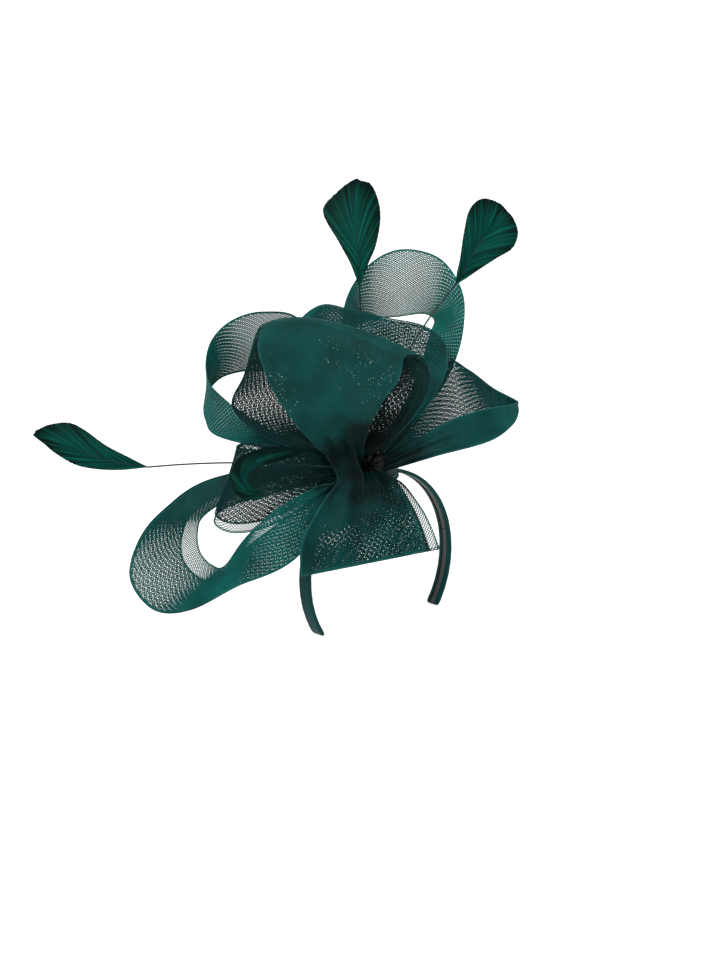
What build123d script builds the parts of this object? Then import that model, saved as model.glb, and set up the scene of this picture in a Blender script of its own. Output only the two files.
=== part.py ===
"""Crin-loop fascinator headpiece on a satin-covered Alice band, in millimetres.

The row frame has +Z up and the wearer facing -Y, so +X is the wearer's left. The origin is the centre of
the band's crown arc, which is the middle of the wearer's head at the band.
"""
import os
from math import cos, pi, radians, sin

from build123d import *

os.makedirs("parts", exist_ok=True)

# ---- driving dimensions: the head band ----
HEAD_RADIUS = 66.0          # inner face of the satin over the top of the head
SATIN = 0.55                # thickness of the satin wrapping
CORE = 1.7                  # thickness of the plastic core
CORE_WIDTH = 10.0           # width of the plastic core, front to back
BAND_WIDTH = CORE_WIDTH + 2 * SATIN
LEG_RADIUS = 72.0           # mid-line radius of the legs
FLEX_ANGLE = 80.0           # where each leg starts to flex, measured from the top of the head
LEG_SWEEP = 35.0            # angle through which each leg turns inward below the widest point
TIP_LENGTH = 7.0            # length of the folded satin end on each leg
FOLD = 0.85                 # thickness of the satin where it is folded at the end
NOSE_GAP = 0.35             # clear space all round the rounded nose that stands for the flexing zone
MID_RADIUS = HEAD_RADIUS + SATIN + CORE / 2

# ---- driving dimensions: the base and the knot ----
BASE_RADIUS = 24.0
FELT = 1.2
BUCKRAM = 1.4
BASE_ANGLE = 16.0           # the base sits this far down the wearer's right side of the crown
BAND_OUTER = HEAD_RADIUS + 2 * SATIN + CORE
KNOT = (-21.0, -14.0, 74.5)  # where all the loops are gathered
FACING = -42.0              # the fan of loops faces the wearer's right front
RISE = 15.0                 # and is tipped back by this much
KNOT_SIZE = (13.0, 10.0, 9.0)
THREAD = 0.8

# ---- driving dimensions: the crin and the feathers ----
CRIN = 0.8                  # thickness that stands for the folded net
SMOOTHING = 0.3             # how closely a loop's face keeps to its rails
VANE = 2.0                  # thickness that stands for the folded vane
QUILL = 0.6                 # radius of a quill

# The fan plane: X across, Y up along the fan, Z out towards whoever looks at its face.
FAN = Plane(
    origin=KNOT,
    x_dir=(cos(radians(FACING)), sin(radians(FACING)), 0),
    z_dir=(
        sin(radians(FACING)) * cos(radians(RISE)),
        -cos(radians(FACING)) * cos(radians(RISE)),
        sin(radians(RISE)),
    ),
)


# ---------------------------------------------------------------------------------------------------
# Curves and surfaces shared by the loops and the vanes
# ---------------------------------------------------------------------------------------------------
def on_rail(points, place):
    """A point on the smooth curve through the points, at place from 0 to 1."""
    last = len(points) - 1
    where = min(max(place, 0.0), 1.0) * last
    start = min(int(where), last - 1)
    t = where - start
    before = Vector(points[max(start - 1, 0)])
    here = Vector(points[start])
    there = Vector(points[start + 1])
    after = Vector(points[min(start + 2, last)])
    slope_here = (there - before) * 0.5
    slope_there = (after - here) * 0.5
    return (
        here * (2 * t**3 - 3 * t**2 + 1)
        + slope_here * (t**3 - 2 * t**2 + t)
        + there * (3 * t**2 - 2 * t**3)
        + slope_there * (t**3 - t**2)
    )


def across_rails(rails, place, side):
    """A point between the rails, straight between two or bowed through three."""
    spots = [on_rail(rail, place) for rail in rails]
    if len(spots) == 2:
        return spots[0] * (1 - side) + spots[1] * side
    low, middle, high = spots
    return (
        low * ((1 - side) * (1 - 2 * side))
        + middle * (4 * side * (1 - side))
        + high * (side * (2 * side - 1))
    )


def rail_solid(name, rails):
    """A thin closed solid, half a layer of crin to each side of the rails' face."""
    stations = 2 * len(rails[0]) - 1
    across = 2 * len(rails) - 2
    grid = []
    for i in range(stations):
        row = []
        for j in range(across):
            spot = across_rails(rails, i / (stations - 1), j / (across - 1))
            row.append(FAN.from_local_coords(spot))
        grid.append(row)
    face = Face.make_surface_from_array_of_points(grid, tol=SMOOTHING)
    with BuildPart() as piece:
        thicken(to_thicken=face, amount=CRIN / 2, both=True)
    piece.part.label = name
    export_step(piece.part, f"parts/{name}.step")


# ---------------------------------------------------------------------------------------------------
# Head band
# ---------------------------------------------------------------------------------------------------
def band_point(radius, angle):
    """A point in the band's plane, its angle measured from the top towards +X."""
    return (radius * sin(radians(angle)), radius * cos(radians(angle)))


def crown_sector(inner, outer, reach):
    """The arc of the crown between two radii, as far as reach degrees each side."""
    with BuildSketch(Plane.XZ) as sketch:
        with BuildLine():
            ends = [band_point(r, a) for r in (inner, outer) for a in (-reach, 0, reach)]
            ThreePointArc(ends[0], ends[1], ends[2])
            Line(ends[2], ends[5])
            ThreePointArc(ends[5], ends[4], ends[3])
            Line(ends[3], ends[0])
        make_face()
    return sketch.sketch


# The leg's mid-line goes on from the crown's, first down to the widest point and then inward.
PIVOT = Vector(*band_point(MID_RADIUS, FLEX_ANGLE))
LEG_CENTRE = PIVOT - Vector(*band_point(LEG_RADIUS, FLEX_ANGLE))
LEG_END = 90.0 + LEG_SWEEP


def leg_point(offset, angle):
    """A point beside the left leg's mid-line, offset outward."""
    return Vector(*band_point(LEG_RADIUS + offset, angle)) + LEG_CENTRE


def leg_strip(inner, outer, start, end):
    """The left leg's strip between two offsets from its mid-line."""
    middle = (start + end) / 2
    with BuildSketch(Plane.XZ) as sketch:
        with BuildLine():
            ThreePointArc(leg_point(inner, start), leg_point(inner, middle), leg_point(inner, end))
            Line(leg_point(inner, end), leg_point(outer, end))
            ThreePointArc(leg_point(outer, end), leg_point(outer, middle), leg_point(outer, start))
            Line(leg_point(outer, start), leg_point(inner, start))
        make_face()
    return sketch.sketch


def arc_degrees(length, radius):
    """The angle that an arc of this length turns through."""
    return length / radius * 180 / pi


NOSE = CORE / 2
CROWN_REACH = FLEX_ANGLE - arc_degrees(NOSE + NOSE_GAP, MID_RADIUS)
COVER_START = FLEX_ANGLE + arc_degrees(NOSE_GAP, LEG_RADIUS)
TIP_START = LEG_END - arc_degrees(TIP_LENGTH, LEG_RADIUS)
CORE_LOW = -CORE / 2
CORE_HIGH = CORE / 2

with BuildPart() as crown_core:
    extrude(crown_sector(MID_RADIUS + CORE_LOW, MID_RADIUS + CORE_HIGH, CROWN_REACH), CORE_WIDTH / 2, both=True)
crown_core.part.label = "band_core_crown"
export_step(crown_core.part, "parts/band_core_crown.step")

with BuildPart() as crown_cover:
    extrude(crown_sector(HEAD_RADIUS, BAND_OUTER, CROWN_REACH), BAND_WIDTH / 2, both=True)
    add(crown_core.part, mode=Mode.SUBTRACT)
crown_cover.part.label = "band_cover_crown"
export_step(crown_cover.part, "parts/band_cover_crown.step")

with BuildPart() as leg_core:
    core_end = LEG_END - arc_degrees(SATIN, LEG_RADIUS)
    extrude(leg_strip(CORE_LOW, CORE_HIGH, FLEX_ANGLE, core_end), CORE_WIDTH / 2, both=True)
    with BuildSketch(Plane.XZ):
        with Locations((PIVOT.X, PIVOT.Y)):
            Circle(NOSE)
    extrude(amount=CORE_WIDTH / 2, both=True)

with BuildPart() as leg_cover:
    extrude(leg_strip(CORE_LOW - SATIN, CORE_HIGH + SATIN, COVER_START, TIP_START), BAND_WIDTH / 2, both=True)
    add(leg_core.part, mode=Mode.SUBTRACT)

# The satin is folded over the end of the leg and glued, so the end is a little fatter than the wrapping.
with BuildPart() as leg_tip:
    extrude(leg_strip(CORE_LOW - FOLD, CORE_HIGH + FOLD, TIP_START, LEG_END), BAND_WIDTH / 2, both=True)
    fillet(leg_tip.faces().sort_by(Axis.Z)[0].edges().filter_by(Axis.Y), radius=0.7)
    add(leg_core.part, mode=Mode.SUBTRACT)

for left_part, stem in ((leg_core, "band_core"), (leg_cover, "band_cover"), (leg_tip, "band_tip")):
    for side in ("left", "right"):
        with BuildPart() as leg_piece:
            add(left_part.part)
            if side == "right":
                mirror(about=Plane.YZ, mode=Mode.REPLACE)
        leg_piece.part.label = f"{stem}_{side}_leg"
        export_step(leg_piece.part, f"parts/{stem}_{side}_leg.step")


# ---------------------------------------------------------------------------------------------------
# Base: a felt disc glued on the band, a buckram disc on it and the knot that gathers the loops
# ---------------------------------------------------------------------------------------------------
BASE_PLANE = Plane(
    origin=(0, KNOT[1] / 2, 0),
    x_dir=(0, 1, 0),
    z_dir=(-sin(radians(BASE_ANGLE)), 0, cos(radians(BASE_ANGLE))),
)


def base_disc(name, radius, inner, outer):
    """A disc that is bent over the band's crown."""
    with BuildPart() as disc:
        with BuildSketch(BASE_PLANE):
            Circle(radius)
        extrude(amount=outer * 1.2)
        with BuildSketch(Plane.XZ):
            Circle(outer)
            Circle(inner, mode=Mode.SUBTRACT)
        extrude(amount=radius * 2, both=True, mode=Mode.INTERSECT)
    disc.part.label = name
    export_step(disc.part, f"parts/{name}.step")


FELT_INNER = BAND_OUTER
base_disc("felt_disc", BASE_RADIUS + 1, FELT_INNER, FELT_INNER + FELT)
base_disc("buckram_disc", BASE_RADIUS, FELT_INNER + FELT, FELT_INNER + FELT + BUCKRAM)

with BuildPart() as knot:
    with BuildSketch(FAN):
        Ellipse(KNOT_SIZE[0] / 2, KNOT_SIZE[1] / 2)
    extrude(amount=KNOT_SIZE[2] / 2, both=True)
    fillet(knot.edges(), radius=2.5)
knot.part.label = "centre_knot"
export_step(knot.part, "parts/centre_knot.step")

with BuildPart() as thread:
    for turn in (-1.2, 0.0, 1.2):
        with BuildSketch(FAN.offset(turn - THREAD / 4)):
            Ellipse(KNOT_SIZE[0] / 2 + THREAD / 2, KNOT_SIZE[1] / 2 + THREAD / 2)
            Ellipse(KNOT_SIZE[0] / 2, KNOT_SIZE[1] / 2, mode=Mode.SUBTRACT)
        extrude(amount=THREAD / 2)
thread.part.label = "binding_thread"
export_step(thread.part, "parts/binding_thread.step")


# ---------------------------------------------------------------------------------------------------
# Crin loops: each is carried by the two edges of its ribbon, and the bud by a middle line as well.
# A point is (across, up, out) in the fan plane.
# ---------------------------------------------------------------------------------------------------
LOOPS = {
    "central_bud": [
        [(-14, 2, 12), (-34, 16, 24), (-60, 48, 40), (-74, 80, 44), (-72, 97, 34),
         (-77, 92, 22), (-83, 66, 15), (-91, 49, 12), (-64, 27, 11), (-16, 7, 6)],
        [(-10, 3, 13), (-20, 26, 34), (-28, 56, 52), (-32, 86, 50), (-36, 100, 34),
         (-28, 98, 20), (-30, 72, 15), (-30, 50, 13), (-24, 28, 11), (-10, 7, 6)],
        [(-5, 2, 13), (-2, 24, 30), (8, 46, 42), (20, 62, 42), (24, 77, 30),
         (36, 77, 22), (43, 66, 14), (38, 48, 10), (22, 26, 8), (-4, 6, 7)],
    ],
    "upper_middle_loop": [
        [(-2, 8, 1), (-34, 46, -2), (-50, 84, 0), (-49, 103, 2), (-20, 93, 0), (13, 82, -2),
         (28, 72, -2), (35, 63, -2), (34, 50, -1), (26, 36, 0), (14, 20, 1), (6, 7, 2)],
        [(-2, 9, -4), (-42, 60, -8), (-52, 96, -10), (-34, 116, -18), (-10, 113, -30), (14, 108, -34),
         (38, 103, -30), (52, 93, -22), (56, 76, -13), (47, 52, -8), (26, 28, -5), (7, 8, -3)],
    ],
    "top_left_loop": [
        [(-6, 8, -7), (-28, 70, -20), (-48, 106, -17), (-73, 111, -6), (-94, 105, 2), (-108, 92, 5),
         (-113, 76, 4), (-111, 61, 0), (-101, 50, -4), (-88, 40, -6), (-60, 24, -6), (-9, 6, -3)],
        [(-6, 9, -14), (-30, 40, -36), (-58, 68, -48), (-80, 71, -50), (-92, 70, -48), (-104, 66, -44),
         (-112, 58, -38), (-116, 48, -32), (-115, 36, -26), (-106, 24, -20), (-65, 14, -14), (-9, 5, -8)],
    ],
    "top_right_loop": [
        [(0, 10, -16), (-16, 70, -44), (-17, 115, -47), (-2, 143, -39), (22, 156, -30), (50, 150, -25),
         (66, 128, -24), (68, 104, -27), (62, 78, -31), (46, 50, -32), (8, 10, -15)],
        [(-2, 10, -22), (-16, 60, -66), (-10, 100, -80), (4, 109, -80), (22, 111, -78), (40, 113, -74),
         (48, 108, -67), (45, 98, -59), (40, 82, -50), (28, 50, -42), (6, 10, -21)],
    ],
    "right_loop": [
        [(8, 10, -9), (30, 48, -20), (55, 76, -27), (71, 71, -26), (88, 58, -20), (102, 50, -9),
         (105, 47, 0), (98, 45, 7), (77, 41, 14), (50, 31, 15), (9, 6, 6)],
        [(9, 6, -11), (36, 16, -18), (62, 24, -23), (80, 30, -22), (94, 36, -17), (102, 41, -9),
         (105, 42, 2), (101, 32, 12), (84, 20, 19), (48, 10, 18), (9, -1, 7)],
    ],
    "front_tail": [
        [(-8, -5, 14), (-24, -16, 28), (-38, -36, 40), (-46, -54, 46), (-46, -73, 48)],
        [(6, -4, 14), (22, -8, 24), (34, -22, 34), (42, -36, 40), (49, -54, 44)],
    ],
    "lower_left_loop": [
        [(-9, -6, 9), (-49, -60, 26), (-92, -81, 16), (-125, -97, 6), (-150, -97, 0), (-166, -76, -4),
         (-160, -50, -7), (-143, -29, -10), (-112, -8, -14), (-50, 4, -14), (-9, 2, -3)],
        [(-13, -1, 10), (-58, -24, 24), (-84, -46, 15), (-100, -67, -2), (-110, -67, -18), (-119, -58, -32),
         (-121, -44, -38), (-116, -32, -40), (-93, -18, -36), (-50, -2, -23), (-10, 0, -7)],
    ],
    "small_lower_loop": [
        [(-9, 3, 6), (-50, 14, 9), (-82, 19, 2), (-91, 16, -3), (-80, 14, -7), (-48, 10, 3), (-9, 3, 1)],
        [(-12, -6, 7), (-62, -36, 11), (-92, -44, 2), (-108, -37, -5), (-98, -26, -10), (-58, -14, 4),
         (-11, -4, 3)],
    ],
}
for loop_name, loop_rails in LOOPS.items():
    rail_solid(loop_name, loop_rails)


# ---------------------------------------------------------------------------------------------------
# Feathers: a bare quill, and a flat leaf for the vane at its end
# ---------------------------------------------------------------------------------------------------
QUILLS = {
    "left_feather": [(-16, 1, 14), (-93, 5, 17), (-153, 2, 10)],
    "top_feather": [(1, 11, -13), (-3, 70, -34), (-6, 131, -36)],
    "right_feather": [(1, 10, 3), (33, 91, 8), (61, 129, 3)],
    "curled_feather": [(-15, -8, 18), (-40, -12, 30), (-70, -18, 33)],
}
# Each vane: how far out it lies, and its two edges, which meet at the quill and at the tip.
VANES = {
    "left_feather": (
        9,
        [(-154, 3), (-181, 16), (-209, 33), (-232, 28)],
        [(-154, 1), (-181, 0), (-217, 11), (-234, 24)],
    ),
    "top_feather": (
        -36,
        [(-7, 132), (-12, 146), (-32, 184), (-22, 198), (-10, 207)],
        [(-5, 132), (0, 146), (9, 180), (7, 194), (2, 204)],
    ),
    "right_feather": (
        2,
        [(61, 131), (67, 166), (71, 182), (80, 190), (92, 187)],
        [(63, 130), (90, 148), (101, 155), (105, 166), (102, 176)],
    ),
    "curled_feather": (
        34,
        [(-71, -24), (-88, -19), (-95, -5), (-88, 9), (-68, 16), (-46, 15)],
        [(-71, -15), (-79, -12), (-84, -5), (-79, 2), (-66, 5), (-46, 11)],
    ),
}
for feather, quill_points in QUILLS.items():
    with BuildPart() as quill:
        with BuildLine() as quill_line:
            ThreePointArc(*[FAN.from_local_coords(Vector(p)) for p in quill_points])
        with BuildSketch(Plane(quill_line.line @ 0, z_dir=quill_line.line % 0)):
            Circle(QUILL)
        sweep()
    quill.part.label = f"{feather}_quill"
    export_step(quill.part, f"parts/{feather}_quill.step")
for feather, (out, low_edge, high_edge) in VANES.items():
    with BuildPart() as vane:
        with BuildSketch(FAN.offset(out)):
            with BuildLine():
                Spline(*low_edge)
                Line(low_edge[-1], high_edge[-1])
                Spline(*high_edge)
                Line(high_edge[0], low_edge[0])
            make_face()
        extrude(amount=VANE / 2, both=True)
    vane.part.label = f"{feather}_vane"
    export_step(vane.part, f"parts/{feather}_vane.step")
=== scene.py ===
"""Fascinator headpiece: crin-net loops, curled feathers and a satin band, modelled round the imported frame.

Lengths are written in millimetres and turned into metres when a mesh is made. The fan plane is the plane
that the loops spread in: its axes are across, up and out, and its origin is the knot.
"""
import math

import bpy
import numpy as np
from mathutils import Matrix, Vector


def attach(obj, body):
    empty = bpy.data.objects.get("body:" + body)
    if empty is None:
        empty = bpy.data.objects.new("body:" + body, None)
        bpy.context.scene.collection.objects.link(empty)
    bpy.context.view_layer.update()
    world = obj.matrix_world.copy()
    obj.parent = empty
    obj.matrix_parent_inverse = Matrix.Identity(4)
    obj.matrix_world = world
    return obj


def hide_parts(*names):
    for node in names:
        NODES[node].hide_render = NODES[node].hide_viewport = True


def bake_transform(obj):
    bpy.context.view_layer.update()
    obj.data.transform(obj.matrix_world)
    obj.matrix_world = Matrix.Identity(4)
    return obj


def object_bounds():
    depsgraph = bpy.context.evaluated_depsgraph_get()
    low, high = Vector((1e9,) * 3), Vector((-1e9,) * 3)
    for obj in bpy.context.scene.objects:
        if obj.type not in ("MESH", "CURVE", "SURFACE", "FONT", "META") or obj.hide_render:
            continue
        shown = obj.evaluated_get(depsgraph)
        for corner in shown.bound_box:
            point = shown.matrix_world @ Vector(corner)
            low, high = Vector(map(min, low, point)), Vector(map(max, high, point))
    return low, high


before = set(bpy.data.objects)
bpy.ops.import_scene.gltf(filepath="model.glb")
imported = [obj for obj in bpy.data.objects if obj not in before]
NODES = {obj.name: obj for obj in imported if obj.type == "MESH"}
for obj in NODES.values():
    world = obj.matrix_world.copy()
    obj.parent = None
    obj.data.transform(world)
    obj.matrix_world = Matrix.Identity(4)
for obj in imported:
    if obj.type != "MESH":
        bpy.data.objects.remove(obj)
cad_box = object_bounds()

MM = 0.001

# ---- the fan plane, as in the CAD ----
KNOT = np.array([-21.0, -14.0, 74.5])
FACING = math.radians(-42.0)
RISE = math.radians(15.0)
ACROSS = np.array([math.cos(FACING), math.sin(FACING), 0.0])
OUT = np.array([math.sin(FACING) * math.cos(RISE), -math.cos(FACING) * math.cos(RISE), math.sin(RISE)])
UP = np.cross(OUT, ACROSS)

# ---- the band, as in the CAD ----
HEAD_RADIUS = 66.0
SATIN = 0.55
CORE = 1.7
BAND_WIDTH = 10.8
LEG_RADIUS = 72.0
FLEX_ANGLE = 80.0
LEG_END = 125.0
MID_RADIUS = HEAD_RADIUS + SATIN + CORE / 2


def to_row(points):
    """Fan coordinates in millimetres to the row frame in metres."""
    points = np.asarray(points, float)
    spread = points[..., 0:1] * ACROSS + points[..., 1:2] * UP + points[..., 2:3] * OUT
    return (spread + KNOT) * MM


# ---------------------------------------------------------------------------------------------------
# Camera, light and floor
# ---------------------------------------------------------------------------------------------------
CAMERA_DISTANCE = 2400.0
FIELD_HEIGHT = 672.0        # what the view takes in at the knot
CAMERA_AIM = (-5.6, -7.0, 0.0)
LIGHT_DISTANCE = 1.6        # metres
LIGHT_AIM = (0, 0, 0.06)
FLOOR_REACH = 30.0          # metres
FLOOR_GAP = 0.0005          # the floor lies this far under the band's ends


def make_camera():
    place = to_row(CAMERA_AIM) + OUT * CAMERA_DISTANCE * MM
    data = bpy.data.cameras.new("camera")
    data.sensor_fit = "VERTICAL"
    data.angle_y = 2 * math.atan(FIELD_HEIGHT / 2 / CAMERA_DISTANCE)
    camera = bpy.data.objects.new("camera", data)
    camera.location = Vector(place)
    camera.rotation_euler = Vector(OUT).to_track_quat("Z", "Y").to_euler()
    bpy.context.collection.objects.link(camera)
    bpy.context.scene.camera = camera


def make_light(name, energy, size, azimuth, elevation):
    a = math.radians(azimuth)
    e = math.radians(elevation)
    back = Vector((math.sin(a) * math.cos(e), -math.cos(a) * math.cos(e), math.sin(e)))
    data = bpy.data.lights.new(name, "AREA")
    data.energy = energy
    data.size = size
    light = bpy.data.objects.new(name, data)
    light.location = back * LIGHT_DISTANCE + Vector(LIGHT_AIM)
    light.rotation_euler = back.to_track_quat("Z", "Y").to_euler()
    bpy.context.collection.objects.link(light)


def make_studio():
    world = bpy.data.worlds.new("studio")
    world.use_nodes = True
    background = world.node_tree.nodes["Background"]
    background.inputs["Color"].default_value = (1, 1, 1, 1)
    background.inputs["Strength"].default_value = 1.0
    bpy.context.scene.world = world
    bpy.context.scene.view_settings.view_transform = "Standard"
    make_light("key", energy=22, size=0.7, azimuth=-75, elevation=50)
    make_light("fill", energy=10, size=0.9, azimuth=20, elevation=35)
    mesh = bpy.data.meshes.new("floor")
    low = cad_box[0][2] - FLOOR_GAP
    corners = [(x * FLOOR_REACH, y * FLOOR_REACH, low) for x, y in ((-1, -1), (1, -1), (1, 1), (-1, 1))]
    mesh.from_pydata(corners, [], [(0, 1, 2, 3)])
    floor = bpy.data.objects.new("floor", mesh)
    bpy.context.collection.objects.link(floor)
    paint = new_material("floor_white", (0.6, 0.6, 0.6), 0.9)
    shader = paint.node_tree.nodes["Principled BSDF"]
    shader.inputs["Emission Color"].default_value = (1, 1, 1, 1)
    shader.inputs["Emission Strength"].default_value = 0.6
    mesh.materials.append(paint)


# ---------------------------------------------------------------------------------------------------
# Materials
# ---------------------------------------------------------------------------------------------------
SHADE_CENTRE = (2, 6, 20)   # of the shade in the gathers, in fan coordinates
SHADE_REACH = (0.016, 0.062)    # metres from its centre: full shade to none
SHADE_DEPTH = 0.5
CRIN_PATCHES = 60.0         # cycles per metre
CRIN_DARK = 0.036           # linear green of the crin in its darker and lighter patches and in the shade
CRIN_LIGHT = 0.055
CRIN_SHADE = 0.007


def new_material(name, colour, roughness):
    material = bpy.data.materials.new(name)
    material.use_nodes = True
    shader = material.node_tree.nodes["Principled BSDF"]
    shader.inputs["Base Color"].default_value = (*colour, 1)
    shader.inputs["Roughness"].default_value = roughness
    return material


def noise(material, scale, detail=3.0, stretch=(1, 1, 1)):
    """A noise texture in object space, scale in cycles per metre."""
    nodes = material.node_tree.nodes
    links = material.node_tree.links
    place = nodes.new("ShaderNodeTexCoord")
    mapping = nodes.new("ShaderNodeMapping")
    mapping.inputs["Scale"].default_value = stretch
    texture = nodes.new("ShaderNodeTexNoise")
    texture.inputs["Scale"].default_value = scale
    texture.inputs["Detail"].default_value = detail
    links.new(place.outputs["Object"], mapping.inputs["Vector"])
    links.new(mapping.outputs["Vector"], texture.inputs["Vector"])
    return texture.outputs["Fac"]


def vary_colour(material, factor, dark, light, low=0.35, high=0.65):
    nodes = material.node_tree.nodes
    links = material.node_tree.links
    ramp = nodes.new("ShaderNodeValToRGB")
    ramp.color_ramp.elements[0].position = low
    ramp.color_ramp.elements[0].color = (*dark, 1)
    ramp.color_ramp.elements[1].position = high
    ramp.color_ramp.elements[1].color = (*light, 1)
    links.new(factor, ramp.inputs["Fac"])
    links.new(ramp.outputs["Color"], nodes["Principled BSDF"].inputs["Base Color"])


def add_bump(material, factor, strength, distance):
    nodes = material.node_tree.nodes
    links = material.node_tree.links
    bump = nodes.new("ShaderNodeBump")
    bump.inputs["Strength"].default_value = strength
    bump.inputs["Distance"].default_value = distance
    links.new(factor, bump.inputs["Height"])
    links.new(bump.outputs["Normal"], nodes["Principled BSDF"].inputs["Normal"])


def shaded_by_knot(material, factor):
    """Lower a factor beside the knot: the gathers' own shade, painted in because the nets are thin."""
    nodes = material.node_tree.nodes
    links = material.node_tree.links
    place = nodes.new("ShaderNodeTexCoord")
    away = nodes.new("ShaderNodeVectorMath")
    away.operation = "DISTANCE"
    away.inputs[1].default_value = to_row(np.array([SHADE_CENTRE]))[0]
    fade = nodes.new("ShaderNodeMapRange")
    fade.interpolation_type = "SMOOTHSTEP"
    for name, value in zip(("From Min", "From Max", "To Min", "To Max"), (*SHADE_REACH, -SHADE_DEPTH, 0.0)):
        fade.inputs[name].default_value = value
    total = nodes.new("ShaderNodeMath")
    total.operation = "ADD"
    links.new(place.outputs["Object"], away.inputs[0])
    links.new(away.outputs["Value"], fade.inputs["Value"])
    links.new(factor, total.inputs[0])
    links.new(fade.outputs["Result"], total.inputs[1])
    return total.outputs["Value"]


def crin_material(name, painted_lightness):
    """The dyed thread, all of one colour, in painted light and shade: a larger lightness paints it lighter and
    slightly greener.
    """
    material = new_material(name, (0.0, 0.06, 0.045), 0.42)
    blue = max(0.98 - 0.07 * painted_lightness, 0.74)
    dark = (0.0004, CRIN_DARK * painted_lightness, CRIN_DARK * painted_lightness * blue)
    light = (0.0012, CRIN_LIGHT * painted_lightness, CRIN_LIGHT * painted_lightness * blue)
    vary_colour(material, shaded_by_knot(material, noise(material, CRIN_PATCHES)), dark, light)
    ramp = material.node_tree.nodes["Color Ramp"].color_ramp
    ramp.elements.new(0.0).color = (0.0001, CRIN_SHADE * painted_lightness, CRIN_SHADE * painted_lightness, 1)
    shader = material.node_tree.nodes["Principled BSDF"]
    shader.inputs["Specular IOR Level"].default_value = 0.1
    return material


def satin_material():
    material = new_material("satin", (0.0, 0.03, 0.03), 0.32)
    threads = noise(material, 900.0, 2.0, (1, 8, 1))
    vary_colour(material, threads, (0.0, 0.020, 0.021), (0.0006, 0.034, 0.034))
    add_bump(material, noise(material, 2600.0, 1.0, (1, 0.15, 1)), 0.25, 0.0002)
    shader = material.node_tree.nodes["Principled BSDF"]
    shader.inputs["Specular IOR Level"].default_value = 0.06
    shader.inputs["Anisotropic"].default_value = 0.5
    return material


def felt_material():
    material = new_material("felt", (0.0, 0.05, 0.04), 0.95)
    vary_colour(material, noise(material, 500.0, 6.0), (0.001, 0.03, 0.024), (0.004, 0.07, 0.055))
    add_bump(material, noise(material, 1800.0, 5.0), 0.8, 0.0006)
    material.node_tree.nodes["Principled BSDF"].inputs["Specular IOR Level"].default_value = 0.05
    return material


def buckram_material():
    material = new_material("buckram", (0.0, 0.05, 0.04), 0.8)
    nodes = material.node_tree.nodes
    links = material.node_tree.links
    place = nodes.new("ShaderNodeTexCoord")
    mapping = nodes.new("ShaderNodeMapping")
    mapping.inputs["Scale"].default_value = (900, 900, 900)
    weave = nodes.new("ShaderNodeTexChecker")
    weave.inputs["Scale"].default_value = 1.0
    links.new(place.outputs["Object"], mapping.inputs["Vector"])
    links.new(mapping.outputs["Vector"], weave.inputs["Vector"])
    vary_colour(material, weave.outputs["Fac"], (0.001, 0.025, 0.02), (0.003, 0.07, 0.055), 0.2, 0.8)
    add_bump(material, weave.outputs["Fac"], 0.5, 0.0004)
    return material


def plastic_material():
    material = new_material("band_core", (0.01, 0.014, 0.014), 0.45)
    add_bump(material, noise(material, 700.0), 0.1, 0.0002)
    return material


def quill_material():
    material = new_material("quill", (0.0, 0.012, 0.01), 0.35)
    vary_colour(material, noise(material, 200.0, 3.0), (0.0, 0.006, 0.006), (0.001, 0.02, 0.016))
    material.node_tree.nodes["Principled BSDF"].inputs["Specular IOR Level"].default_value = 0.15
    return material


def feather_material():
    """The silky web: fine lines along the barbs, from the stripes' own attribute."""
    material = new_material("feather", (0.0, 0.06, 0.045), 0.55)
    nodes = material.node_tree.nodes
    links = material.node_tree.links
    stripe = nodes.new("ShaderNodeAttribute")
    stripe.attribute_name = "shade"
    vary_colour(material, stripe.outputs["Fac"], (0.0, 0.004, 0.004), (0.0004, 0.062, 0.043), 0.1, 0.95)
    shader = nodes["Principled BSDF"]
    shader.inputs["Specular IOR Level"].default_value = 0.03
    return material


# ---------------------------------------------------------------------------------------------------
# Rails, the surface that they carry, and the net that is laid on it
# ---------------------------------------------------------------------------------------------------
def on_rail(points, places):
    """Points on the smooth curve through the given ones, at places from 0 to 1."""
    points = np.asarray(points, float)
    last = len(points) - 1
    where = np.clip(places, 0, 1) * last
    start = np.minimum(where.astype(int), last - 1)
    t = (where - start)[:, None]
    before = points[np.maximum(start - 1, 0)]
    here = points[start]
    there = points[start + 1]
    after = points[np.minimum(start + 2, last)]
    slope_here = (there - before) / 2
    slope_there = (after - here) / 2
    return (
        here * (2 * t**3 - 3 * t**2 + 1)
        + slope_here * (t**3 - 2 * t**2 + t)
        + there * (3 * t**2 - 2 * t**3)
        + slope_there * (t**3 - t**2)
    )


def across_rails(rails, places, side):
    """Points between two rails on straight lines, or through three on curves, at shares of the width."""
    spots = [on_rail(rail, places)[:, None, :] for rail in rails]
    side = np.asarray(side)[None, :, None]
    if len(spots) == 2:
        return spots[0] * (1 - side) + spots[1] * side
    low, middle, high = spots
    return low * (1 - side) * (1 - 2 * side) + middle * 4 * side * (1 - side) + high * side * (2 * side - 1)


def normals_of(grid):
    along = np.gradient(grid, axis=0)
    across = np.gradient(grid, axis=1)
    normal = np.cross(along, across)
    size = np.linalg.norm(normal, axis=2, keepdims=True)
    return normal / np.maximum(size, 1e-9)


ROWS = 401                  # of the ribbon's grid, along it
COLUMNS = 49
FINE_STEPS = 1601
PLEATS = 3
FINE_PLEATS = 1.7           # finer pleats on each pleat
PLEAT_REACH = 70.0          # the pleats run out this far from a gathered end
PLEAT_HEIGHT = 0.03         # as a share of the width
FLAT_END = 8.0              # the pleats fade over this length into the stitching
RIPPLE_HEIGHT = 0.3
RIPPLE_LENGTH = 23.0
FAR = 1000.0                # stands for an end that isn't gathered


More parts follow.
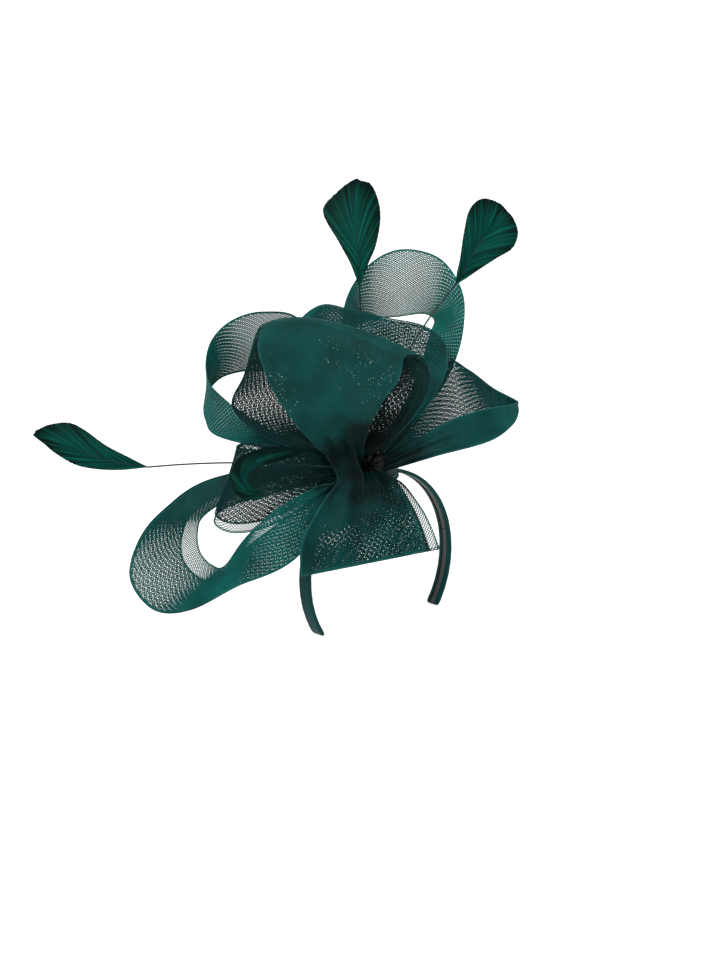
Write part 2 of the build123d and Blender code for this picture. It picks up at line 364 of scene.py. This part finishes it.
class Ribbon:
    """A ribbon's surface: evenly spaced along its middle, with pleats where it is gathered."""

    def __init__(self, rails, seed, lift, span, slack):
        fine = np.linspace(*span, FINE_STEPS)
        middle = across_rails(rails, fine, [0.5])[:, 0]
        steps = np.linalg.norm(np.diff(middle, axis=0), axis=1)
        run = np.concatenate([[0], np.cumsum(steps)])
        self.length = run[-1]
        s = np.linspace(0, self.length, ROWS)
        places = np.interp(s, run, fine)
        side = np.linspace(0, 1, COLUMNS)
        grid = across_rails(rails, places, side)
        widths = np.linalg.norm(np.diff(grid, axis=1), axis=2).sum(axis=1)
        self.width = widths.max()
        normal = normals_of(grid)
        rng = np.random.default_rng(seed)
        phase = rng.uniform(0, 2 * math.pi, 3)
        from_start = s + (FAR if span[0] > 0 else 0.0)
        from_end = self.length - s + (FAR if span[1] < 1 else 0.0)
        nearest_end = np.minimum(from_start, from_end)
        gather = np.clip(1 - nearest_end / PLEAT_REACH, 0, 1) ** 1.2
        wave = (
            np.sin(2 * math.pi * PLEATS * side + phase[0])
            + 0.5 * np.sin(2 * math.pi * (PLEATS * FINE_PLEATS) * side + phase[1])
        )
        swell = np.clip(nearest_end / FLAT_END, 0, 1)
        height = slack * self.width * PLEAT_HEIGHT * (gather * swell)[:, None] * wave[None, :]
        ripple_along = RIPPLE_HEIGHT * np.sin(s / RIPPLE_LENGTH + phase[2])[:, None]
        ripple = ripple_along * np.sin(math.pi * side * 2 + phase[1])[None, :]
        self.grid = grid + normal * (height + ripple + lift)[:, :, None]
        self.normal = normals_of(self.grid)

    def at(self, s, t, what):
        """what (the grid or its normals) at s along and t across, both in millimetres."""
        x = np.clip(s / self.length, 0, 1) * (ROWS - 1)
        y = np.clip(t / self.width, 0, 1) * (COLUMNS - 1)
        i = np.minimum(x.astype(int), ROWS - 2)
        j = np.minimum(y.astype(int), COLUMNS - 2)
        u = (x - i)[:, None]
        v = (y - j)[:, None]
        return (
            what[i, j] * (1 - u) * (1 - v)
            + what[i + 1, j] * u * (1 - v)
            + what[i, j + 1] * (1 - u) * v
            + what[i + 1, j + 1] * u * v
        )


class TubeMesh:
    """Collects thin tubes in fan coordinates and turns them into one mesh."""

    def __init__(self):
        self.points = []
        self.faces = []
        self.caps = []
        self.count = 0

    def add(self, path, normal, radius, sides=3):
        if len(path) < 2:
            return
        tangent = np.gradient(path, axis=0)
        tangent /= np.maximum(np.linalg.norm(tangent, axis=1, keepdims=True), 1e-9)
        beside = np.cross(tangent, normal)
        beside /= np.maximum(np.linalg.norm(beside, axis=1, keepdims=True), 1e-9)
        above = np.cross(beside, tangent)
        radius = np.broadcast_to(radius, len(path))[:, None]
        angles = [math.pi / 2 + 2 * math.pi * k / sides for k in range(sides)]
        rings = [path + radius * (math.cos(a) * beside + math.sin(a) * above) for a in angles]
        self.points.append(np.stack(rings, axis=1).reshape(-1, 3))
        ring = np.arange(len(path) - 1)[:, None] * sides + self.count
        k = np.arange(sides)[None, :]
        after = (k + 1) % sides
        quads = np.stack([ring + k, ring + after, ring + sides + after, ring + sides + k], axis=-1)
        self.faces.append(quads.reshape(-1, 4))
        self.caps.append((np.arange(sides)[::-1] + self.count, sides))
        self.count += len(path) * sides
        self.caps.append((np.arange(sides) + self.count - sides, sides))

    def build(self, name, material):
        points = np.concatenate(self.points)
        return quad_mesh(name, points, np.concatenate(self.faces), material, caps=self.caps)


def quad_mesh(name, points, faces, material, shade=None, caps=(), in_fan=True):
    """An object of quads and many-sided caps, from points in millimetres."""
    mesh = bpy.data.meshes.new(name)
    mesh.vertices.add(len(points))
    places = to_row(points) if in_fan else np.asarray(points) * MM
    mesh.vertices.foreach_set("co", places.astype(np.float32).ravel())
    corners = np.concatenate([faces.ravel(), *(cap[0] for cap in caps)])
    sizes = np.concatenate([np.full(len(faces), 4), [cap[1] for cap in caps]])
    mesh.loops.add(len(corners))
    mesh.loops.foreach_set("vertex_index", corners.astype(np.int32))
    mesh.polygons.add(len(sizes))
    mesh.polygons.foreach_set("loop_start", (np.cumsum(sizes) - sizes).astype(np.int32))
    mesh.polygons.foreach_set("use_smooth", np.full(len(sizes), True))
    mesh.update(calc_edges=True)
    mesh.validate()
    if shade is not None:
        layer = mesh.attributes.new("shade", "FLOAT", "POINT")
        layer.data.foreach_set("value", shade.astype(np.float32))
    mesh.materials.append(material)
    piece = bpy.data.objects.new(name, mesh)
    bpy.context.collection.objects.link(piece)
    return piece


PITCH = 2.15                # long way across a mesh, along and across the ribbon
GAP = PITCH / math.sqrt(2)  # between neighbouring threads, square to them
INNER_GAP = 1.25            # the same in an inner layer
THREAD = 0.33               # radius of a net thread
INNER_THREAD = 0.30
SELVEDGE = 0.42             # radius of the gathering thread in the edge
SHORTEST_THREAD = 0.3
EDGE_STEP = 1.5
EDGE_INSET = 1.0            # a second thread runs along inside the selvedge
HEM_INSET = 1.2
# Painted light and shade: the outer layer of a loop is painted lighter and the layers under it darker, as if in
# its shade, though all the crin is one colour.
OUTER_LIT_TONE = 1.05           # the outer layer is painted lighter than the layers under it
INNER_SHADE_TONE = 0.42
INNER_STEP = 2              # an inner layer's threads have a point at every second crossing


def net_thread(tube, ribbon, family, index, slope, gap, thread, step):
    """One slanting thread with a point at each crossing, over and under in turn, or at every second one."""
    length, width = ribbon.length, ribbon.width
    pitch = gap * math.sqrt(1 + slope * slope)
    start = index * pitch
    if family > 0:
        t_low = max(0.0, (start - length) / slope)
        t_high = min(width, start / slope)
    else:
        t_low = max(0.0, -start / slope)
        t_high = min(width, (length - start) / slope)
    if t_high - t_low < SHORTEST_THREAD:
        return
    half = step * pitch / (2 * slope)
    first = math.ceil(t_low / half)
    last = math.floor(t_high / half)
    t = np.concatenate([[t_low], np.arange(first, last + 1) * half, [t_high]])
    t = t[np.concatenate([[True], np.diff(t) > 1e-6])]
    s = start - family * slope * t
    path = ribbon.at(s, t, ribbon.grid)
    normal = ribbon.at(s, t, ribbon.normal)
    turn = np.round(t / half).astype(int) + index
    weave = np.where(turn % 2 == 0, 1.0, -1.0) * family * thread * 0.5 / step
    tube.add(path + normal * weave[:, None], normal, thread)


def make_net(name, ribbon, material, slope, gap, thread, step, hem=False):
    """The whole net: two families of slanting threads and the threads along the edges."""
    tube = TubeMesh()
    pitch = gap * math.sqrt(1 + slope * slope)
    reach = ribbon.width * slope
    for index in range(1, int((ribbon.length + reach) / pitch) + 1):
        net_thread(tube, ribbon, 1, index, slope, gap, thread, step)
    for index in range(-int(reach / pitch), int(ribbon.length / pitch) + 1):
        net_thread(tube, ribbon, -1, index, slope, gap, thread, step)
    s = np.linspace(0, ribbon.length, int(ribbon.length / EDGE_STEP))
    for edge, inward in ((0.0, 1), (ribbon.width, -1)):
        for inset, radius in ((0.0, SELVEDGE), (EDGE_INSET, thread)):
            t = np.full(len(s), edge + inward * inset)
            tube.add(ribbon.at(s, t, ribbon.grid), ribbon.at(s, t, ribbon.normal), radius, 4)
    if hem:
        t = np.linspace(0, ribbon.width, int(ribbon.width / EDGE_STEP))
        for inset, radius in ((0.0, SELVEDGE), (HEM_INSET, thread)):
            s = np.full(len(t), ribbon.length - inset)
            tube.add(ribbon.at(s, t, ribbon.grid), ribbon.at(s, t, ribbon.normal), radius, 4)
    return tube.build(name, material)


# Each loop: its rails in fan coordinates (across, up, out) and its separate layers. A layer is the two
# shares of the width that it lies between, its height above the rails, the two shares of the length, and
# the slope of its threads. A loop's tone scales the colour as painted light and shade, darker for the loops
# that lie in more shade, though all the crin is one colour; under is the painted shade of the inner
# layers, slack scales the pleats.
LOOPS = {
    "central_bud": {
        "rails": [
            [(-14, 2, 12), (-34, 16, 24), (-60, 48, 40), (-74, 80, 44), (-72, 97, 34),
             (-78, 90, 22), (-86, 66, 15), (-94, 43, 12), (-66, 20, 11), (-16, 7, 6)],
            [(-10, 3, 13), (-20, 26, 34), (-28, 56, 52), (-32, 86, 50), (-36, 100, 34),
             (-28, 98, 20), (-30, 72, 15), (-30, 50, 13), (-24, 28, 11), (-10, 7, 6)],
            [(-5, 2, 13), (-2, 24, 30), (8, 46, 42), (20, 62, 42), (24, 77, 30),
             (36, 77, 22), (43, 66, 14), (38, 48, 10), (22, 26, 8), (-4, 6, 7)],
        ],
        "layers": [
            (0, 1, 0, 0, 0.46, 2.5), (0, 1, 0, 0.42, 1, 2.5),
            (0, 1, -2.4, 0, 0.46, 1.0), (0, 1, -2.4, 0.42, 1, 1.0),
            (0.3, 0.96, 2.0, 0.5, 1, 0.4),
        ],
        "painted_lightness": 1.0,
        "thread": 0.31,
        "inner_thread": 0.34,
        "slack": 0.5,
    },
    "upper_middle_loop": {
        "rails": [
            [(-2, 8, 1), (-34, 46, -2), (-50, 84, 0), (-49, 99, 2), (-20, 88, 0), (13, 77, -2),
             (28, 69, -2), (35, 62, -2), (34, 50, -1), (26, 36, 0), (14, 20, 1), (6, 7, 2)],
            [(-2, 9, -4), (-42, 60, -8), (-52, 96, -10), (-34, 116, -18), (-10, 113, -30), (14, 108, -34),
             (38, 103, -30), (52, 93, -22), (56, 76, -13), (47, 52, -8), (26, 28, -5), (7, 8, -3)],
        ],
        "layers": [(0, 1, 0, 0, 1, 1.0), (0.42, 1, -2, 0, 1, 2.5)],
        "painted_lightness": 1.0,
    },
    "top_left_loop": {
        "rails": [
            [(-6, 8, -7), (-28, 70, -20), (-48, 106, -17), (-73, 111, -6), (-94, 105, 2), (-108, 92, 5),
             (-113, 76, 4), (-111, 61, 0), (-101, 50, -4), (-88, 40, -6), (-60, 24, -6), (-9, 6, -3)],
            [(-6, 9, -14), (-30, 40, -36), (-58, 68, -48), (-80, 71, -50), (-92, 70, -48), (-104, 66, -44),
             (-112, 58, -38), (-116, 48, -32), (-115, 36, -26), (-106, 24, -20), (-65, 14, -14), (-9, 5, -8)],
        ],
        "painted_lightness": 1.5,
        "thread": 0.42,
    },
    "top_right_loop": {
        "rails": [
            [(0, 10, -16), (-16, 70, -44), (-17, 115, -47), (-2, 143, -39), (22, 156, -30), (50, 150, -25),
             (66, 128, -24), (68, 104, -27), (62, 78, -31), (46, 50, -32), (8, 10, -15)],
            [(-2, 10, -22), (-16, 60, -66), (-10, 100, -80), (4, 109, -80), (22, 111, -78), (40, 113, -74),
             (48, 108, -67), (45, 98, -59), (40, 82, -50), (28, 50, -42), (6, 10, -21)],
        ],
        "painted_lightness": 2.0,
        "thread": 0.40,
    },
    "right_loop": {
        "rails": [
            [(8, 10, -9), (30, 48, -20), (55, 76, -27), (71, 71, -26), (88, 58, -20), (102, 50, -9),
             (105, 47, 0), (98, 45, 7), (77, 41, 14), (50, 31, 15), (9, 6, 6)],
            [(9, 6, -11), (36, 16, -18), (62, 24, -23), (80, 30, -22), (94, 36, -17), (102, 41, -9),
             (105, 42, 2), (101, 32, 12), (84, 20, 19), (48, 10, 18), (9, -1, 7)],
        ],
        "layers": [(0, 1, 0, 0, 1, 1.0), (0, 0.985, -1.3, 0, 1, 2.5)],
        "painted_lightness": 1.05,
        "under": 0.6,
        "inner_thread": 0.34,
    },
    "front_tail": {
        "rails": [
            [(-8, -5, 14), (-24, -16, 28), (-38, -36, 40), (-46, -54, 46), (-46, -73, 48)],
            [(6, -4, 14), (22, -8, 24), (34, -22, 34), (42, -36, 40), (49, -54, 44)],
        ],
        "layers": [(0, 1, -1.5, 0, 1, 1.0), (0, 0.93, 0, 0, 1, 2.5), (0, 0.92, 1.5, 0, 1, 0.4),
                   (0, 0.9, 3.0, 0, 1, 1.0)],
        "painted_lightness": 1.1,
        "thread": 0.31,
        "inner_thread": 0.34,
        "hem": True,
    },
    "neck_fold": {
        "node": "front_tail",
        "rails": [
            [(-36, 18, 25), (-26, 5, 23), (-21, -7, 24), (-24, -24, 31), (-30, -42, 37)],
            [(-10, 20, 27), (-7, 5, 26), (-3, -6, 27), (-4, -20, 31), (-8, -38, 36)],
        ],
        "layers": [(0, 1, 1.0, 0, 1, 1.0), (0, 1, -0.5, 0, 1, 2.5)],
        "painted_lightness": 0.9,
        "thread": 0.31,
        "inner_thread": 0.34,
        "slack": 0.4,
    },
    "lower_left_loop": {
        "rails": [
            [(-9, -6, 9), (-49, -60, 26), (-92, -81, 16), (-125, -97, 6), (-150, -97, 0), (-166, -76, -4),
             (-160, -50, -7), (-143, -29, -10), (-112, -8, -14), (-50, 4, -14), (-9, 2, -3)],
            [(-13, -1, 10), (-58, -24, 24), (-84, -46, 15), (-100, -67, -2), (-110, -67, -18), (-119, -58, -32),
             (-121, -44, -38), (-116, -32, -40), (-93, -18, -36), (-50, -2, -23), (-10, 0, -7)],
        ],
        "layers": [(0, 1, 0, 0, 1, 1.0), (0, 0.76, 1.6, 0, 1, 2.5)],
        "painted_lightness": 1.3,
        "under": 0.8,
    },
    "small_lower_loop": {
        "rails": [
            [(-9, 3, 6), (-50, 14, 9), (-82, 19, 2), (-91, 16, -3), (-80, 14, -7), (-48, 10, 3), (-9, 3, 1)],
            [(-12, -6, 7), (-62, -36, 11), (-92, -44, 2), (-108, -37, -5), (-98, -26, -10), (-58, -14, 4),
             (-11, -4, 3)],
        ],
        "layers": [(0, 1, 0, 0, 1, 1.0), (0, 0.9, 1.2, 0, 0.55, 2.5)],
        "painted_lightness": 1.2,
    },
}
OUTER_SLOPE = 1.0           # the threads of an outer layer run at 45 degrees to the ribbon


def between_rails(rails, low, high):
    """The rails of the strip between two shares of a ribbon's width."""
    if (low, high) == (0.0, 1.0):
        return rails
    shares = (low, high) if len(rails) == 2 else (low, (low + high) / 2, high)
    knots = np.linspace(0, 1, len(rails[0]))
    strip = across_rails(rails, knots, shares)
    return [strip[:, k] for k in range(len(shares))]


def make_loops():
    for number, (node, facts) in enumerate(LOOPS.items()):
        # Painted light and shade: a lit copy of the crin for the outer layer and a darker, shaded copy for the
        # layers under it.
        outer = crin_material(f"crin_{node}", facts["painted_lightness"] * OUTER_LIT_TONE)
        inner = crin_material(f"crin_{node}_inner", facts["painted_lightness"] * facts.get("under", INNER_SHADE_TONE))
        layers = facts.get("layers", [(0, 1, 0, 0, 1, 1.0)])
        for layer, (low, high, lift, start, end, slope) in enumerate(layers):
            rails = between_rails(facts["rails"], low, high)
            ribbon = Ribbon(rails, 7 * number, lift, (start, end), facts.get("slack", 1.0))
            name = f"{node}_net" if layer == 0 else f"{node}_net_{layer + 1}"
            if slope == OUTER_SLOPE:
                material, gap, thread, step = outer, GAP, facts.get("thread", THREAD), 1
            else:
                thread = facts.get("inner_thread", INNER_THREAD)
                material, gap, step = inner, INNER_GAP, INNER_STEP
            piece = make_net(name, ribbon, material, slope, gap, thread, step, facts.get("hem", False))
            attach(piece, "root")
            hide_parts(facts.get("node", node))


# ---------------------------------------------------------------------------------------------------
# Feathers
# ---------------------------------------------------------------------------------------------------
VANES = {
    "left_feather": {
        "edge": [(-154, 3, 10), (-181, 16, 8), (-198, 28, 6), (-209, 33, 5), (-222, 32, 4), (-232, 28, 2),
                 (-233, 26, 2)],
        "rib": [(-153, 2, 10), (-180, 6, 9), (-198, 12, 8), (-210, 18, 7), (-222, 23, 5), (-233, 26, 2)],
        "other": [(-154, 1, 10), (-181, 0, 14), (-202, 3, 13), (-217, 11, 10), (-226, 18, 6), (-234, 24, 2),
                  (-233, 26, 2)],
    },
    "top_feather": {
        "edge": [(-7, 132, -36), (-12, 146, -35), (-20, 161, -35), (-32, 184, -36), (-22, 198, -37),
                 (-10, 207, -38), (-5, 206, -38)],
        "rib": [(-6, 131, -36), (-6, 146, -33), (-7, 161, -32), (-9, 180, -32), (-9, 195, -34), (-5, 206, -38)],
        "other": [(-5, 132, -36), (0, 146, -36), (6, 161, -38), (9, 180, -41), (7, 194, -41), (2, 204, -39),
                  (-5, 206, -38)],
    },
    "right_feather": {
        "edge": [(60, 130, 3), (64, 146, 5), (67, 166, 5), (71, 182, 4), (80, 190, 2), (92, 187, 0),
                 (98, 181, -1)],
        "rib": [(61, 129, 3), (70, 146, 1), (79, 160, -1), (87, 172, -1), (94, 178, -1), (98, 181, -1)],
        "other": [(62, 129, 3), (76, 139, 5), (90, 148, 6), (101, 155, 6), (105, 166, 4), (102, 176, 1),
                  (98, 181, -1)],
    },
    "curled_feather": {
        "light": 0.3,
        "edge": [(-68, -22, 33), (-88, -19, 34), (-95, -5, 35), (-88, 9, 35), (-68, 16, 34), (-46, 15, 32),
                 (-44, 13, 32)],
        "rib": [(-70, -18, 33), (-83, -15, 34), (-89, -5, 35), (-83, 6, 35), (-67, 11, 34), (-46, 13, 32)],
        "other": [(-68, -15, 33), (-78, -12, 34), (-84, -5, 35), (-79, 2, 35), (-66, 5, 34), (-46, 11, 32),
                  (-44, 13, 32)],
    },
}
BARBS = 240                 # on each side of a rib
BARB_POINTS = 12
BARB_BEND = 0.62            # a barb turns out to the edge at this share of its way
BARB_BOW = 1.6              # the barbs bow toward the front by this
BARB_STAGGER = 0.10
CLUMPS = 40                 # barbs cling together in clumps of their own height and tone
LAST_ROOT = 0.62            # the barbs leave the rib below this share of its length
FRAY = 0.035                # of the barbs at the tip, as a share of their length
FRAY_START = 0.6
WEB_STEPS = 60
WEB_COLUMNS = 14
WEB_BOW = 1.3
FORWARD = np.array([0.0, 0.0, 1.0])
LIGHT = 0.5                 # tone of a vane at the rib


def barb_line(facts, edge_name, root, tip, reach):
    """A barb leaves the rib at a small angle and runs up beside it before it turns out to the edge."""
    start = on_rail(facts["rib"], np.array([root]))[0]
    end = on_rail(facts[edge_name], np.array([tip]))[0]
    bend = np.array([root + BARB_BEND * (tip - root)])
    turn = on_rail(facts["rib"], bend)[0]
    beside = on_rail(facts[edge_name], bend)[0]
    turn = turn + 0.6 * (1 - (root / LAST_ROOT) ** 2) * (beside - turn)
    t = reach[:, None]
    return start * (1 - t) ** 2 + turn * 2 * t * (1 - t) + end * t**2


def barb_tip(root):
    """How far up the edge the barb from a place on the rib reaches."""
    return 0.10 + 0.90 * (root / LAST_ROOT) ** 0.85


def make_vane(name, facts, material, seed):
    """A vane of separate barbs that lie close together and fray at the tip, on a thin web that joins them."""
    rng = np.random.default_rng(seed)
    light = facts.get("light", LIGHT)
    points, faces, shade = [], [], []
    count = 0
    for edge_name in ("edge", "other"):
        clumps = rng.normal(0, 1, CLUMPS)
        for k in range(BARBS):
            root = k / BARBS * LAST_ROOT
            tip = min(barb_tip(root) + rng.normal(0, 0.004), 1.0)
            fray = abs(rng.normal(0, FRAY)) * max(0.0, tip - FRAY_START) / (1 - FRAY_START)
            reach = np.linspace(0, 1.0 - fray, BARB_POINTS)
            line = barb_line(facts, edge_name, root, tip, reach)
            swell = np.sin(math.pi * np.clip(reach, 0, 1))[:, None]
            clump = np.interp(k / BARBS * (CLUMPS - 1), np.arange(CLUMPS), clumps)
            line = line + FORWARD * (swell * (BARB_BOW + 0.25 * clump) + BARB_STAGGER * (k % 3))
            ahead = np.gradient(line, axis=0)
            beside = np.cross(ahead, FORWARD)
            beside /= np.maximum(np.linalg.norm(beside, axis=1, keepdims=True), 1e-6)
            half = (0.10 + 0.30 * np.sin(math.pi * np.clip(reach * 0.8 + 0.1, 0, 1)))[:, None]
            points.append(np.stack([line - beside * half, line + beside * half], axis=1).reshape(-1, 3))
            base = count + np.arange(BARB_POINTS - 1)[:, None] * 2
            faces.append((base + np.array([[0, 1, 3, 2]])).reshape(-1, 4))
            tone = light + 0.13 * clump + rng.normal(0, 0.07) - 0.6 * tip * reach**2
            shade.append(np.repeat(np.clip(tone, 0, 1), 2))
            count += 2 * BARB_POINTS
        roots = np.linspace(0.01, LAST_ROOT * 0.97, WEB_STEPS)
        reach = np.linspace(0, 0.985, WEB_COLUMNS)
        web = np.array([barb_line(facts, edge_name, root, barb_tip(root), reach) for root in roots])
        web = web + FORWARD * (np.sin(math.pi * reach) * WEB_BOW - 0.2)[None, :, None]
        points.append(web.reshape(-1, 3))
        i = np.arange(WEB_STEPS - 1)[:, None] * WEB_COLUMNS + count
        k = np.arange(WEB_COLUMNS - 1)[None, :]
        corners = np.stack([i + k, i + WEB_COLUMNS + k, i + WEB_COLUMNS + k + 1, i + k + 1], axis=-1)
        faces.append(corners.reshape(-1, 4))
        stripes = light * 0.55 + rng.normal(0, 0.09, WEB_STEPS)
        shade.append(np.repeat(np.clip(stripes, 0.05, 1), WEB_COLUMNS))
        count += WEB_STEPS * WEB_COLUMNS
    return quad_mesh(f"{name}_web", np.concatenate(points), np.concatenate(faces), material,
                     np.concatenate(shade))


def make_rib(name, facts, material):
    """The end of the quill that runs on into the vane and thins out."""
    tube = TubeMesh()
    path = on_rail(facts["rib"], np.linspace(0, LAST_ROOT + 0.1, 40)) + 0.2 * FORWARD
    normal = np.tile(FORWARD, (len(path), 1))
    tube.add(path, normal, np.linspace(0.6, 0.1, len(path)), 8)
    return tube.build(f"{name}_rib", material)


def make_feathers():
    web = feather_material()
    horn = quill_material()
    for number, (name, facts) in enumerate(VANES.items()):
        piece = make_vane(name, facts, web, seed=40 + number)
        rib = make_rib(name, facts, horn)
        for part, slot in ((piece, "feather"), (rib, "quill")):
            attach(part, "root")
        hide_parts(f"{name}_vane")
        paint_node(f"{name}_quill", horn)


# ---------------------------------------------------------------------------------------------------
# Band, base and knot
# ---------------------------------------------------------------------------------------------------
def paint_node(node, material):
    """Give a CAD node that stays its material."""
    piece = NODES[node]
    if not piece.material_slots:
        piece.data.materials.append(material)
    for slot in piece.material_slots:
        slot.material = material


SLEEVE_HALF = (BAND_WIDTH / 2 + 0.15, CORE / 2 + SATIN + 0.1)
MEETING = 18.0              # the two halves of the satin meet under the base, this far round to the right
SEAM = 0.10                 # half of the open seam on the inner face, as an angle round the section
CROWN_STEPS = 110
LEG_STEPS = 90
AROUND_BAND = 64
CORNER = 0.35               # the band's section is an oblong with rounded corners, by this power
TUCK = 4.0                  # degrees of the end over which the satin closes
FOLD_PLACE = 5.0            # the folded satin inside the end is this far from it, in degrees
FOLD_SPREAD = 2.2


def band_line(angle):
    """The band's mid-line and its outward direction in the XZ plane, for an angle from the top towards +X."""
    angle = np.asarray(angle, float)
    pivot = math.radians(FLEX_ANGLE)
    centre = (MID_RADIUS - LEG_RADIUS) * np.array([math.sin(pivot), math.cos(pivot)])
    way = np.stack([np.sin(np.radians(angle)), np.cos(np.radians(angle))], axis=-1)
    crown = way * MID_RADIUS
    leg = way * LEG_RADIUS + centre
    return np.where(angle[:, None] < FLEX_ANGLE, crown, leg), way


def make_sleeve(side, material):
    """One half of the satin, folded round the core and glued, with its seam on the inner face."""
    sign = 1 if side == "left" else -1
    start = -MEETING if side == "left" else MEETING
    crown = np.linspace(start, FLEX_ANGLE, CROWN_STEPS)
    turns = np.concatenate([crown, np.linspace(FLEX_ANGLE, LEG_END, LEG_STEPS)[1:]])
    line, way = band_line(turns)
    turn = np.linspace(SEAM, 2 * math.pi - SEAM, AROUND_BAND) - math.pi / 2
    wide = SLEEVE_HALF[0] * np.sign(np.cos(turn)) * np.abs(np.cos(turn)) ** CORNER
    deep = SLEEVE_HALF[1] * np.sign(np.sin(turn)) * np.abs(np.sin(turn)) ** CORNER
    rng = np.random.default_rng(11 if side == "left" else 12)
    points = []
    for k in range(len(turns)):
        from_end = LEG_END - turns[k]
        close = math.sqrt(max(0.0, 1 - max(0.0, 1 - from_end / TUCK) ** 4)) * 0.98 + 0.02
        wrinkle = 0.05 * math.sin(k * 0.9 + 2 * math.sin(k * 0.23)) + rng.normal(0, 0.012)
        fatter = 0.25 * math.exp(-((from_end - FOLD_PLACE) / FOLD_SPREAD) ** 2)
        offset = deep * close * (1 + (wrinkle + fatter) * 0.5)
        x = line[k, 0] + way[k, 0] * offset
        z = line[k, 1] + way[k, 1] * offset
        y = wide * (0.82 + 0.18 * close) * (1 + 0.01 * math.sin(k * 0.4))
        points.append(np.stack([sign * x, y, z], axis=-1))
    points = np.array(points).reshape(-1, 3)
    i = np.arange(len(turns) - 1)[:, None] * AROUND_BAND
    k = np.arange(AROUND_BAND - 1)[None, :]
    faces = np.stack([i + k, i + k + 1, i + AROUND_BAND + k + 1, i + AROUND_BAND + k], axis=-1).reshape(-1, 4)
    piece = quad_mesh(f"satin_sleeve_{side}", points, faces, material, in_fan=False)
    leg = f"{side}_leg"
    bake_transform(piece)
    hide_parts("band_cover_crown", f"band_cover_{leg}", f"band_tip_{leg}")


def paint_frame():
    plastic = plastic_material()
    satin = satin_material()
    for node in ("band_core_crown", "band_core_left_leg", "band_core_right_leg"):
        paint_node(node, plastic)
    for side in ("left", "right"):
        make_sleeve(side, satin)
    paint_node("felt_disc", felt_material())
    paint_node("buckram_disc", buckram_material())
    paint_node("binding_thread", quill_material())


BUNDLE = (15.0, 12.5, 13.0)  # half sizes of the gathered ends, across, up and out
BUNDLE_PLACE = (0.0, 3.0, -1.0)
BUNDLE_RINGS = 60
BUNDLE_AROUND = 120
# Painted shade: the gathered ends are painted near black for the shade in the knot; their crin is the loops'
# colour.
BUNDLE_SHADE_TONE = 0.1


def make_bundle():
    """The gathered, sewn ends of the loops: a wrinkled mass that the necks grow out of, painted near black as
    the knot's shade.
    """
    rings, around = BUNDLE_RINGS, BUNDLE_AROUND
    tilt = np.linspace(0.02, math.pi - 0.02, rings)[:, None]
    turn = np.linspace(0, 2 * math.pi, around, endpoint=False)[None, :]
    folds = 1 + 0.025 * np.sin(13 * turn + 2.2 * np.sin(3 * tilt)) + 0.012 * np.sin(29 * turn + 5 * tilt)
    swell = 1 + 0.08 * np.sin(3 * turn + 1.0) * np.sin(2 * tilt)
    across = BUNDLE[0] * np.sin(tilt) * np.cos(turn) * folds * swell
    up = BUNDLE[1] * np.sin(tilt) * np.sin(turn) * folds * swell
    out = BUNDLE[2] * np.cos(tilt) * (1 + 0.06 * np.sin(9 * turn))
    points = np.stack([across, up, np.broadcast_to(out, across.shape)], axis=-1).reshape(-1, 3)
    points = points + np.array(BUNDLE_PLACE)
    i = np.arange(rings - 1)[:, None] * around
    k = np.arange(around)[None, :]
    after = (k + 1) % around
    faces = np.stack([i + k, i + around + k, i + around + after, i + after], axis=-1).reshape(-1, 4)
    ends = [(np.arange(around), around), ((rings - 1) * around + np.arange(around)[::-1], around)]
    piece = quad_mesh("gathered_ends", points, faces, crin_material("crin_gathered_shade", BUNDLE_SHADE_TONE),
                      caps=ends)
    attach(piece, "root")
    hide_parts("centre_knot")


make_camera()
make_studio()
make_bundle()
make_loops()
make_feathers()
paint_frame()
